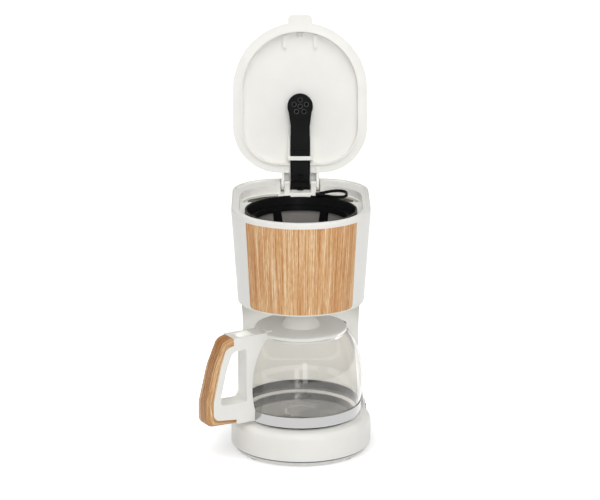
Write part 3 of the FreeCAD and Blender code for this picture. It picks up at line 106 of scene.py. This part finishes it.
ON_MACHINE = (0, 0, 0.18)
for name, place, spot, wide, high, watts, shines in (
    ("top_lamp", (0.1, -0.95, 1.85), ON_MACHINE, 1.6, 1.6, 17.5, False),
    ("front_lamp", (0.1, -2.5, 1.0), ON_MACHINE, 1.6, 1.0, 12, False),
    ("left_lamp", (-1.6, -0.35, 0.62), ON_MACHINE, 1.2, 1.2, 2.2, False),
    ("right_lamp", (1.6, -0.35, 0.62), ON_MACHINE, 1.2, 1.2, 2.2, False),
    ("strip_lamp", (0.34, -2.6, 0.62), ON_MACHINE, 0.42, 1.4, 4, True),
    ("bay_lamp", (0, -0.03, 0.1), (0, 0.07, 0.1), 0.17, 0.06, 0.05, False),
):
    lamp = bpy.data.objects.new(name, bpy.data.lights.new(name, "AREA"))
    lamp.data.shape = "RECTANGLE"
    lamp.data.size = wide
    lamp.data.size_y = high
    lamp.data.energy = watts
    lamp.location = place
    lamp.visible_glossy = shines
    lamp.visible_transmission = shines
    aimed(lamp, spot)

world = bpy.data.worlds.new("studio")
scene.world = world
world.use_nodes = True
tree = world.node_tree
tree.nodes.clear()
path = add(tree, "ShaderNodeLightPath")
aim = add(tree, "ShaderNodeTexCoord")
way = add(tree, "ShaderNodeSeparateXYZ", {0: aim.outputs["Generated"]})
side = add(tree, "ShaderNodeMath", {0: way.outputs["X"]}, operation="ABSOLUTE")
wash = add(
    tree, "ShaderNodeMapRange",
    {"Value": side.outputs[0], "From Min": 0.45, "From Max": 0.9, "To Min": 0.36, "To Max": 0.3},
)
behind = add(tree, "ShaderNodeMath", {0: way.outputs["Y"], 1: 0.6}, operation="GREATER_THAN")
through = add(
    tree, "ShaderNodeMath",
    {0: path.outputs["Is Transmission Ray"], 1: behind.outputs[0]}, operation="MULTIPLY",
)
seen = add(
    tree, "ShaderNodeMath",
    {0: path.outputs["Is Camera Ray"], 1: through.outputs[0]}, operation="MAXIMUM",
)
level = add(tree, "ShaderNodeMath", {0: wash.outputs[0], 1: seen.outputs[0]}, operation="MAXIMUM")
sky = add(tree, "ShaderNodeBackground", {"Color": (1, 1, 1, 1), "Strength": level.outputs[0]})
add(tree, "ShaderNodeOutputWorld", {"Surface": sky.outputs[0]})

sweep = bmesh.new()
bmesh.ops.create_grid(sweep, x_segments=1, y_segments=1, size=4)
floor = bpy.data.objects.new("floor", bpy.data.meshes.new("floor"))
sweep.to_mesh(floor.data)
sweep.free()
scene.collection.objects.link(floor)
paper = bpy.data.materials.new("white_paper")
paper.use_nodes = True
tree = paper.node_tree
tree.nodes.clear()
path = add(tree, "ShaderNodeLightPath")
seen = add(tree, "ShaderNodeMath", {0: path.outputs["Is Camera Ray"], 1: path.outputs["Is Glossy Ray"]})
seen = add(
    tree, "ShaderNodeMath",
    {0: seen.outputs[0], 1: path.outputs["Is Transmission Ray"]}, use_clamp=True,
)
spot = add(tree, "ShaderNodeTexCoord")
away = add(tree, "ShaderNodeVectorMath", {0: spot.outputs["Object"]}, operation="LENGTH")
# Painted shade: the paper's glow for the lens, gloss and glass is weaker within 8 to 15 cm of the machine's
# middle, darkening the floor round the base on top of its real shadow.
fade = add(
    tree, "ShaderNodeMapRange",
    {"Value": away.outputs["Value"], "From Min": 0.08, "From Max": 0.15, "To Min": 0.45, "To Max": 0.95},
)
glare = add(tree, "ShaderNodeMath", {0: fade.outputs[0], 1: seen.outputs[0]}, operation="MULTIPLY")
glow = add(tree, "ShaderNodeEmission", {"Color": (1, 1, 1, 1), "Strength": glare.outputs[0]})
matt = add(tree, "ShaderNodeBsdfDiffuse", {"Color": (0.75, 0.75, 0.75, 1)})
lit = add(tree, "ShaderNodeAddShader", {0: matt.outputs[0], 1: glow.outputs[0]})
add(tree, "ShaderNodeOutputMaterial", {"Surface": lit.outputs[0]})
floor.data.materials.append(paper)

# Main body: base and column in one shell, injection moulded in white ABS.
# The mould's polish leaves a soft gloss with a faint waviness, and handling dulls it in patches.


def coated(name, **sockets):
    """A new material with one Principled shader, and its tree."""
    made = bpy.data.materials.new(name)
    made.use_nodes = True
    shader = made.node_tree.nodes["Principled BSDF"]
    for socket, value in sockets.items():
        shader.inputs[socket.replace("_", " ")].default_value = value
    return made, made.node_tree, shader


def mottle(tree, size, detail=3.0, stretch=(1, 1, 1)):
    """A noise over the piece whose patches are about the given size in metres."""
    spot = add(tree, "ShaderNodeTexCoord")
    laid = add(tree, "ShaderNodeMapping", {"Vector": spot.outputs["Object"], "Scale": stretch})
    return add(tree, "ShaderNodeTexNoise", {"Vector": laid.outputs[0], "Scale": 1 / size, "Detail": detail})


def shaded(tree, shader, noise, *stops):
    """Colours the shader by a noise, through stops of (place, colour)."""
    tone = add(tree, "ShaderNodeValToRGB", {"Fac": noise})
    band = tone.color_ramp
    while len(band.elements) < len(stops):
        band.elements.new(0.5)
    for element, (place, colour) in zip(band.elements, stops):
        element.position = place
        element.color = linear(colour)
    tree.links.new(tone.outputs[0], shader.inputs["Base Color"])


def worn(tree, shader, noise, low, high):
    """Lets a noise move the roughness between two values."""
    span = add(
        tree, "ShaderNodeMapRange",
        {"Value": noise.outputs["Fac"], "From Min": 0.3, "From Max": 0.7, "To Min": low, "To Max": high},
    )
    tree.links.new(span.outputs[0], shader.inputs["Roughness"])


def relief(tree, shader, noise, strength, depth):
    """Raises a noise as bumps of the given depth in metres."""
    bump = add(
        tree, "ShaderNodeBump",
        {"Height": noise.outputs["Fac"], "Strength": strength, "Distance": depth},
    )
    tree.links.new(bump.outputs[0], shader.inputs["Normal"])


def softened(node, material, width=0.0006, corner=38):
    """A smooth copy of a CAD piece with its sharp edges rounded as a mould rounds them."""
    source = frame["nodes"][node]
    shape = bmesh.new()
    shape.from_mesh(source.data)
    bmesh.ops.remove_doubles(shape, verts=shape.verts, dist=0.00001)
    bmesh.ops.dissolve_limit(shape, angle_limit=math.radians(0.6), verts=shape.verts, edges=shape.edges)
    mesh = bpy.data.meshes.new(node + "_skin")
    shape.to_mesh(mesh)
    shape.free()
    for layer in [a for a in mesh.attributes if a.name == "custom_normal"]:
        mesh.attributes.remove(layer)
    mesh.materials.clear()
    mesh.materials.append(material)
    mesh.shade_smooth()
    mesh.set_sharp_from_angle(angle=math.radians(corner))
    skin = bpy.data.objects.new(node + "_skin", mesh)
    scene.collection.objects.link(skin)
    if width:
        edge = skin.modifiers.new("edge", "BEVEL")
        edge.width = width
        edge.segments = 3
        edge.limit_method = "ANGLE"
        edge.angle_limit = math.radians(corner)
        edge.harden_normals = True
    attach(skin, source["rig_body"])
    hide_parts(node)
    return skin


abs_white, tree, shader = coated("white_abs", IOR=1.53)
patch = mottle(tree, 0.03)
shaded(tree, shader, patch.outputs["Fac"], (0.3, "#F2F1EC"), (0.7, "#F6F5F0"))
worn(tree, shader, patch, 0.3, 0.4)
relief(tree, shader, mottle(tree, 0.004), 0.05, 0.0004)
softened("main_body", abs_white)

# Bottom cover: a shallow white tray screwed up into the base on four screws.
# The cover is painted grey from 5.2 mm up, in the parting gap above its edge: painted shade in the gap.

cover_white, tree, shader = coated("cover_abs", IOR=1.53)
spot = add(tree, "ShaderNodeTexCoord")
rise = add(tree, "ShaderNodeSeparateXYZ", {0: spot.outputs["Object"]})
# painted shade: the cover turns grey across the parting gap, by height
gap = add(
    tree, "ShaderNodeMapRange",
    {"Value": rise.outputs["Z"], "From Min": 0.0047, "From Max": 0.0053},
)
shaded(tree, shader, gap.outputs[0], (0.0, "#F4F3EE"), (1.0, "#85898D"))
worn(tree, shader, mottle(tree, 0.03), 0.32, 0.44)
softened("bottom_cover", cover_white, 0.0005)

# Screws, clips, stud, clamp and spring: zinc-plated steel with fine turning marks.
# The thermostat and the fuse are steel cans of the same finish; the valve's spring gets a mesh of its own
# here, and nothing in this script shortens it by its 4 mm travel.


def dressed(material, *nodes):
    """Gives CAD pieces that are shown as they are their real finish."""
    for node in nodes:
        frame["nodes"][node].data.materials.clear()
        frame["nodes"][node].data.materials.append(material)


steel, tree, shader = coated("zinc_steel", Base_Color=linear("#B4B5B8"), Metallic=1.0)
worn(tree, shader, mottle(tree, 0.0007, 2.0), 0.28, 0.46)
dressed(
    steel, "bottom_screws", "element_clamp", "plate_stud", "clamp_nut", "thermostat", "thermal_fuse",
    "hose_clips", "hinge_pin", "band_screw",
)
spring = softened("valve_spring", steel, 0.0)
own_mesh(spring)

# Feet, plate seal and valve seal: moulded rubber, matt and a little dusty.
# The feet and the seal round the plate are pale grey, the valve's seal black.

pale_rubber, tree, shader = coated("pale_rubber", IOR=1.52)
dust = mottle(tree, 0.0011, 4.0)
shaded(tree, shader, dust.outputs["Fac"], (0.3, "#C6C5C2"), (0.7, "#DAD9D6"))
worn(tree, shader, dust, 0.62, 0.8)
softened("feet", pale_rubber, 0.0004)
softened("plate_seal", pale_rubber, 0.0003)
black_rubber, tree, shader = coated("black_rubber", IOR=1.52)
dust = mottle(tree, 0.0011, 4.0)
shaded(tree, shader, dust.outputs["Fac"], (0.3, "#2A2A2B"), (0.7, "#3C3C3D"))
worn(tree, shader, dust, 0.65, 0.8)
dressed(black_rubber, "valve_seal")

# Heating element: an aluminium arc cast round the heater and the water tube.
# It is left as cast, grey and grainy.

cast, tree, shader = coated("cast_aluminium", Base_Color=linear("#B9BABC"), Metallic=1.0)
grit = mottle(tree, 0.0014, 5.0)
worn(tree, shader, grit, 0.38, 0.62)
relief(tree, shader, grit, 0.3, 0.0002)
dressed(cast, "heating_element")

# Hoses and nozzle: extruded silicone, cloudy and soft to the eye.
# The hoses push over the tube ends and are held by spring clips.

silicone, tree, shader = coated("cloudy_silicone", Roughness=0.5, IOR=1.41)
shaded(tree, shader, mottle(tree, 0.008).outputs["Fac"], (0.3, "#DAD8D0"), (0.7, "#E7E5DE"))
dressed(silicone, "inlet_hose", "riser_hose", "tank_hose", "outlet_nozzle")

# Hot plate: pressed steel with a grey non-stick coat, and a ring pressed into its middle.
# The ring is coloured pale as a painted highlight; the coat is a little darker towards the middle.
# The coat is smooth enough to mirror the jug's foot.

coat, tree, shader = coated("plate_coat", Metallic=0.75, IOR=1.5)
spot = add(tree, "ShaderNodeTexCoord")
PLATE_SPAN = 0.05
flat_way = (1 / PLATE_SPAN, 1 / PLATE_SPAN, 0)
level = add(
    tree, "ShaderNodeVectorMath", {0: spot.outputs["Object"], 1: flat_way}, operation="MULTIPLY",
)
reach = add(tree, "ShaderNodeVectorMath", {0: level.outputs[0]}, operation="LENGTH")
# painted highlight: the pale band at 15 to 17 mm radius marks the pressed ring
PLATE_TONES_AND_RING_HIGHLIGHT = (
    (0, "#4A4A48"), (0.01425, "#434341"), (0.01525, "#C4C4C0"),
    (0.01675, "#C4C4C0"), (0.01775, "#4C4C4A"), (PLATE_SPAN, "#5E5E5C"),
)
shaded(tree, shader, reach.outputs["Value"], *((r / PLATE_SPAN, tone) for r, tone in PLATE_TONES_AND_RING_HIGHLIGHT))
worn(tree, shader, mottle(tree, 0.02), 0.2, 0.3)
relief(tree, shader, mottle(tree, 0.0006, 2.0), 0.05, 0.0001)
softened("hot_plate", coat, 0.0003)

# Switch and cord inlet: a black rocker that snaps into a white frame, and a black bushing at the back.
# Both are moulded polypropylene with a fine spark-eroded grain.

black, tree, shader = coated("black_polypropylene", IOR=1.49, Specular_IOR_Level=0.14)
grain = mottle(tree, 0.0009)
shaded(tree, shader, grain.outputs["Fac"], (0.3, "#0B0B0C"), (0.7, "#121213"))
worn(tree, shader, mottle(tree, 0.015), 0.3, 0.45)
relief(tree, shader, grain, 0.08, 0.0002)
softened("rocker_switch", black, 0.0005)
softened("switch_frame", abs_white, 0.0004)
softened("cord_inlet", black, 0.0004)

# Upper housing, top frame, hinge bracket and filter holder: white ABS like the main body.
# They snap and screw together round the tank; the valve's stem is moulded in the same white.

softened("upper_housing", abs_white)
softened("top_frame", abs_white, 0.0005)
softened("hinge_bracket", abs_white, 0.0004)
softened("filter_holder", abs_white, 0.0004)
softened("valve_stem", abs_white, 0.0003)

# Wood-look panel: a thin moulding wrapped in a printed oak foil under a satin lacquer.
# The print is upright grain, pale straw between orange-tan lines that run most of its height.
# The lines are about 1.1 mm wide, 900 to the metre, the pores between them 0.6 mm wide and shorter.


def oak_print(name, laid, *stops):
    """An oak foil whose grain runs along the coordinate that the given maker shortens."""
    made, tree, shader = coated(name, IOR=1.5)
    spot = laid(tree)
    sway = add(tree, "ShaderNodeTexNoise", {"Vector": spot, "Scale": 40.0, "Detail": 2.0})
    drift = add(
        tree, "ShaderNodeVectorMath",
        {0: sway.outputs["Color"], 1: (0.0024, 0.0024, 0.0)}, operation="MULTIPLY",
    )
    bent = add(tree, "ShaderNodeVectorMath", {0: spot, 1: drift.outputs[0]})
    pores = add(tree, "ShaderNodeVectorMath", {0: bent.outputs[0], 1: (1, 6, 1)}, operation="MULTIPLY")
    fibre = add(
        tree, "ShaderNodeTexNoise",
        {"Vector": pores.outputs[0], "Scale": 1600.0, "Detail": 2.0, "Roughness": 0.6},
    )
    streak = add(
        tree, "ShaderNodeTexNoise",
        {"Vector": bent.outputs[0], "Scale": 900.0, "Detail": 2.0, "Roughness": 0.6},
    )
    board = add(tree, "ShaderNodeTexNoise", {"Vector": bent.outputs[0], "Scale": 110.0, "Detail": 1.0})
    print_tone = add(tree, "ShaderNodeMix", {0: 0.66, 2: fibre.outputs["Fac"], 3: streak.outputs["Fac"]})
    print_tone = add(tree, "ShaderNodeMix", {0: 0.22, 2: print_tone.outputs[0], 3: board.outputs["Fac"]})
    shaded(tree, shader, print_tone.outputs[0], *stops)
    worn(tree, shader, fibre, 0.38, 0.5)
    relief(tree, shader, fibre, 0.12, 0.0002)
    return made


def upright(tree):
    """Coordinates round the machine's axis, at the panel's radius, and drawn out along the height."""
    spot = add(tree, "ShaderNodeTexCoord")
    parts = add(tree, "ShaderNodeSeparateXYZ", {0: spot.outputs["Object"]})
    turn = add(
        tree, "ShaderNodeMath", {0: parts.outputs["X"], 1: parts.outputs["Y"]}, operation="ARCTAN2",
    )
    round_way = add(tree, "ShaderNodeMath", {0: turn.outputs[0], 1: PANEL_RADIUS}, operation="MULTIPLY")
    up_way = add(tree, "ShaderNodeMath", {0: parts.outputs["Z"], 1: GRAIN_DRAW}, operation="MULTIPLY")
    laid = add(tree, "ShaderNodeCombineXYZ", {"X": round_way.outputs[0], "Y": up_way.outputs[0]})
    return laid.outputs[0]


PANEL_RADIUS = 0.075
GRAIN_DRAW = 0.012
PANEL_TONES = (0.39, "#B5743B"), (0.46, "#CF965D"), (0.53, "#E1B784"), (0.6, "#F5E0C0")
softened("wood_panel", oak_print("oak_foil", upright, *PANEL_TONES), 0.0005)

# Water tank: blown polypropylene left in its natural cloudy cream, hung in the back of the head.
# The check valve in the hose is moulded in the same plastic.

natural, tree, shader = coated("natural_polypropylene", Roughness=0.45, IOR=1.49)
shaded(tree, shader, mottle(tree, 0.012).outputs["Fac"], (0.3, "#F3F0E2"), (0.7, "#F9F6EA"))
softened("water_tank", natural, 0.0)
dressed(natural, "check_valve")

# Filter basket: a black polypropylene cup with woven nylon moulded into its windows.
# The weave is 0.4 mm threads, grey where the light comes through.

softened("filter_basket", black, 0.0004)
weave, tree, shader = coated("nylon_weave", Roughness=0.55, IOR=1.53)
spot = add(tree, "ShaderNodeTexCoord")
thread = add(
    tree, "ShaderNodeTexChecker",
    {
        "Vector": spot.outputs["Object"], "Scale": 1 / 0.0004,
        "Color1": linear("#77736F"), "Color2": linear("#97938F"),
    },
)
tree.links.new(thread.outputs["Color"], shader.inputs["Base Color"])
softened("filter_mesh", weave, 0.0)

# Filter loop: a round bar bent into a teardrop, with its straight end through the basket's lug.
# It lies back over the rim with its far bar a little raised.

LOOP_ROOT = Vector((0.018, 0.0544, 0.26))
loop_bar = bpy.data.curves.new("filter_loop", "CURVE")
loop_bar.dimensions = "3D"
loop_bar.bevel_depth = 0.0016
loop_bar.bevel_resolution = 4
bend = loop_bar.splines.new("NURBS")
LOOP_BENDS = (
    (0, -3.4, 0), (0, 0, 0), (0, 3.4, 0), (6, 3, 0.8), (13, 5.6, 1.6), (22, 7.6, 2.2),
    (30, 5.6, 1.4), (30.6, 0, 0), (30, -5.6, -1), (22, -7.6, -1.6), (13, -5.6, -1.2), (6, -3, -0.4),
)
bend.points.add(len(LOOP_BENDS) - 1)
for point, spot in zip(bend.points, LOOP_BENDS):
    point.co = (LOOP_ROOT + Vector(spot) / 1000).to_4d()
bend.use_cyclic_u = True
bend.order_u = 3
bend.resolution_u = 8
loop = bpy.data.objects.new("filter_loop_bar", loop_bar)
loop_bar.materials.append(black)
scene.collection.objects.link(loop)
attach(loop, "loop")
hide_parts("filter_loop")

# Lid: a white shell on a neck, hinged at the back, with the shower arm under it.
# A strap moulded in white holds the arm between two rails. Two small leaning gussets stand behind
# the front lip, and the mould has left a fine line on the lid's middle.

softened("lid_shell", abs_white, 0.0007)
softened("arm_strap", abs_white, 0.0003)
HINGE = Vector((0, 0.1, 0.258))
LID_OPEN = Matrix.Rotation(math.radians(-101), 4, "X")
LID_TURN = Matrix.Translation(HINGE) @ LID_OPEN @ Matrix.Translation(-HINGE)
LID_FINS = (
    (0.9, ((-4.2, -65.6, 261), (-4.2, -65.6, 269.6), (-2.2, -58.5, 269.6))),
    (0.9, ((3.3, -65.6, 261), (3.3, -65.6, 269.6), (1.3, -58.5, 269.6))),
    (0.5, ((-0.9, -21, 269.1), (-0.9, -21, 269.6), (-0.9, -3, 269.6), (-0.9, -3, 269.1))),
)
shape = bmesh.new()
for thick, corners in LID_FINS:
    near = [shape.verts.new(LID_TURN @ (Vector(c) / 1000)) for c in corners]
    far = [shape.verts.new(LID_TURN @ (Vector((c[0] + thick, c[1], c[2])) / 1000)) for c in corners]
    shape.faces.new(near)
    shape.faces.new(far)
    for n in range(len(corners)):
        shape.faces.new((near[n - 1], far[n - 1], far[n], near[n]))
bmesh.ops.recalc_face_normals(shape, faces=shape.faces)
bmesh.ops.bevel(
    shape, geom=shape.edges, offset=0.00012, offset_type="OFFSET", affect="EDGES",
    segments=2, profile=0.5, material=-1,
)
fins = bpy.data.objects.new("lid_fins", bpy.data.meshes.new("lid_fins"))
shape.to_mesh(fins.data)
shape.free()
fins.data.materials.append(abs_white)
scene.collection.objects.link(fins)
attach(fins, "lid")

# Shower arm and its cap: black polypropylene, moulded in two and snapped together.
# The round head has six jets that wet the grounds, each with a thin raised rim coloured grey: a painted
# highlight on the rim.

softened("shower_arm", black, 0.0005)
softened("arm_cap", black, 0.0004)
# painted highlight: a grey that stands in for the light the black rims catch
rim_highlight_black, tree, shader = coated("rim_highlight_polypropylene", IOR=1.49)
rim_highlight_mottle = mottle(tree, 0.001)
shaded(tree, shader, rim_highlight_mottle.outputs["Fac"], (0.3, "#3E3E40"), (0.7, "#59595B"))
worn(tree, shader, rim_highlight_mottle, 0.2, 0.35)
rims = bpy.data.curves.new("jet_rims", "CURVE")
rims.dimensions = "3D"
rims.bevel_depth = 0.00035
rims.bevel_resolution = 2
HEAD_MIDDLE = Vector((0, 15, 257.4))
JET_RING = 6.9
RIM_RADIUS = 2.3
jets = [HEAD_MIDDLE]
for number in range(5):
    way = math.radians(number * 72 - 90)
    jets.append(HEAD_MIDDLE + JET_RING * Vector((math.cos(way), math.sin(way), 0)))
for jet in jets:
    rim = rims.splines.new("POLY")
    rim.points.add(23)
    rim.use_cyclic_u = True
    for number, point in enumerate(rim.points):
        way = math.radians(number * 15)
        spot = jet + RIM_RADIUS * Vector((math.cos(way), math.sin(way), 0))
        point.co = (LID_TURN @ (spot / 1000)).to_4d()
rim_rings = bpy.data.objects.new("jet_rims", rims)
rims.materials.append(rim_highlight_black)
scene.collection.objects.link(rim_rings)
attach(rim_rings, "lid")

# Jug glass: blown borosilicate, clear, with a pouring lip.
# Light from the lamps passes straight through the thin wall.

glass, tree, shader = coated("borosilicate_glass", Roughness=0.0, IOR=1.47, Transmission_Weight=1.0)
# Painted shade: the glass's colour darkens where it is seen edge-on, along the jug's outlines.
outline_shade = add(tree, "ShaderNodeLayerWeight", {"Blend": 0.5})
shaded(
    tree, shader, outline_shade.outputs["Facing"],
    (0.0, "#FFFEFC"), (0.55, "#FCFAF7"), (0.75, "#BAB7B3"), (0.92, "#7A7874"),
)
path = add(tree, "ShaderNodeLightPath")
through = add(
    tree, "ShaderNodeMath",
    {0: path.outputs["Is Shadow Ray"], 1: path.outputs["Is Diffuse Ray"]}, operation="MAXIMUM",
)
clear = add(tree, "ShaderNodeBsdfTransparent")
pane = add(
    tree, "ShaderNodeMixShader", {0: through.outputs[0], 1: shader.outputs[0], 2: clear.outputs[0]},
)
tree.links.new(pane.outputs[0], tree.nodes["Material Output"].inputs["Surface"])
softened("jug_glass", glass, 0.0)

# Jug band: chromed steel strip round the glass, drawn tight by a screw in the handle's foot.
# Wiping leaves faint marks in the chrome.

chrome, tree, shader = coated("chromed_steel", Base_Color=linear("#A8A8A8"), Metallic=1.0)
worn(tree, shader, mottle(tree, 0.016, stretch=(1, 1, 6)), 0.08, 0.18)
softened("jug_band", chrome, 0.0)

# Jug handle and lid: white ABS; the handle's foot clamps the band and its head hooks the rim.

softened("jug_handle", abs_white, 0.0016)
softened("jug_lid", abs_white, 0.0007)

# Handle grip: a rounded shell in an oak print like the panel's but in darker tones, clipped over the handle's
# back.
# Its grain follows the bend of the grip, so the print is laid along it.


GRIP_BENDS = (
    (86.5, 130), (95, 127), (101, 115), (105.5, 100), (109.5, 85), (113.5, 68), (114.5, 55),
    (110.5, 46), (98, 44), (85, 43),
)
GRIP_LINE = [Vector(point) / 1000 for point in GRIP_BENDS]


def laid_along(spot):
    """How far beside the grip's middle line a spot lies, and how far along it."""
    gone = 0
    found = []
    for start, end in zip(GRIP_LINE, GRIP_LINE[1:]):
        run = end - start
        share = max(0, min(1, (spot - start).dot(run) / run.length_squared))
        gap = spot - start - run * share
        found.append((gap.length, math.copysign(gap.length, run.cross(gap)), gone + run.length * share))
        gone += run.length
    return min(found)[1:]


def along_grip(tree):
    """The grip's own coordinates: across it, and along its bend, drawn out."""
    spot = add(tree, "ShaderNodeUVMap", uv_map="grain")
    return add(tree, "ShaderNodeMapping", {"Vector": spot.outputs[0], "Scale": (1, GRAIN_DRAW, 1)}).outputs[0]


GRIP_TONES = (0.39, "#935826"), (0.46, "#B2763F"), (0.53, "#CE9E67"), (0.6, "#EED4AE")
grip = softened("handle_grip", oak_print("oak_grip", along_grip, *GRIP_TONES), 0.0008)
HANDLE_TURN = math.radians(210)
HANDLE_WAY = Vector((math.cos(HANDLE_TURN), math.sin(HANDLE_TURN), 0))
print_map = grip.data.uv_layers.new(name="grain")
for corner in grip.data.loops:
    place = grip.data.vertices[corner.vertex_index].co
    beside, along = laid_along(Vector((place.dot(HANDLE_WAY), place.z)))
    aside = place.x * HANDLE_WAY.y - place.y * HANDLE_WAY.x
    print_map.data[corner.index].uv = (beside + aside, along)
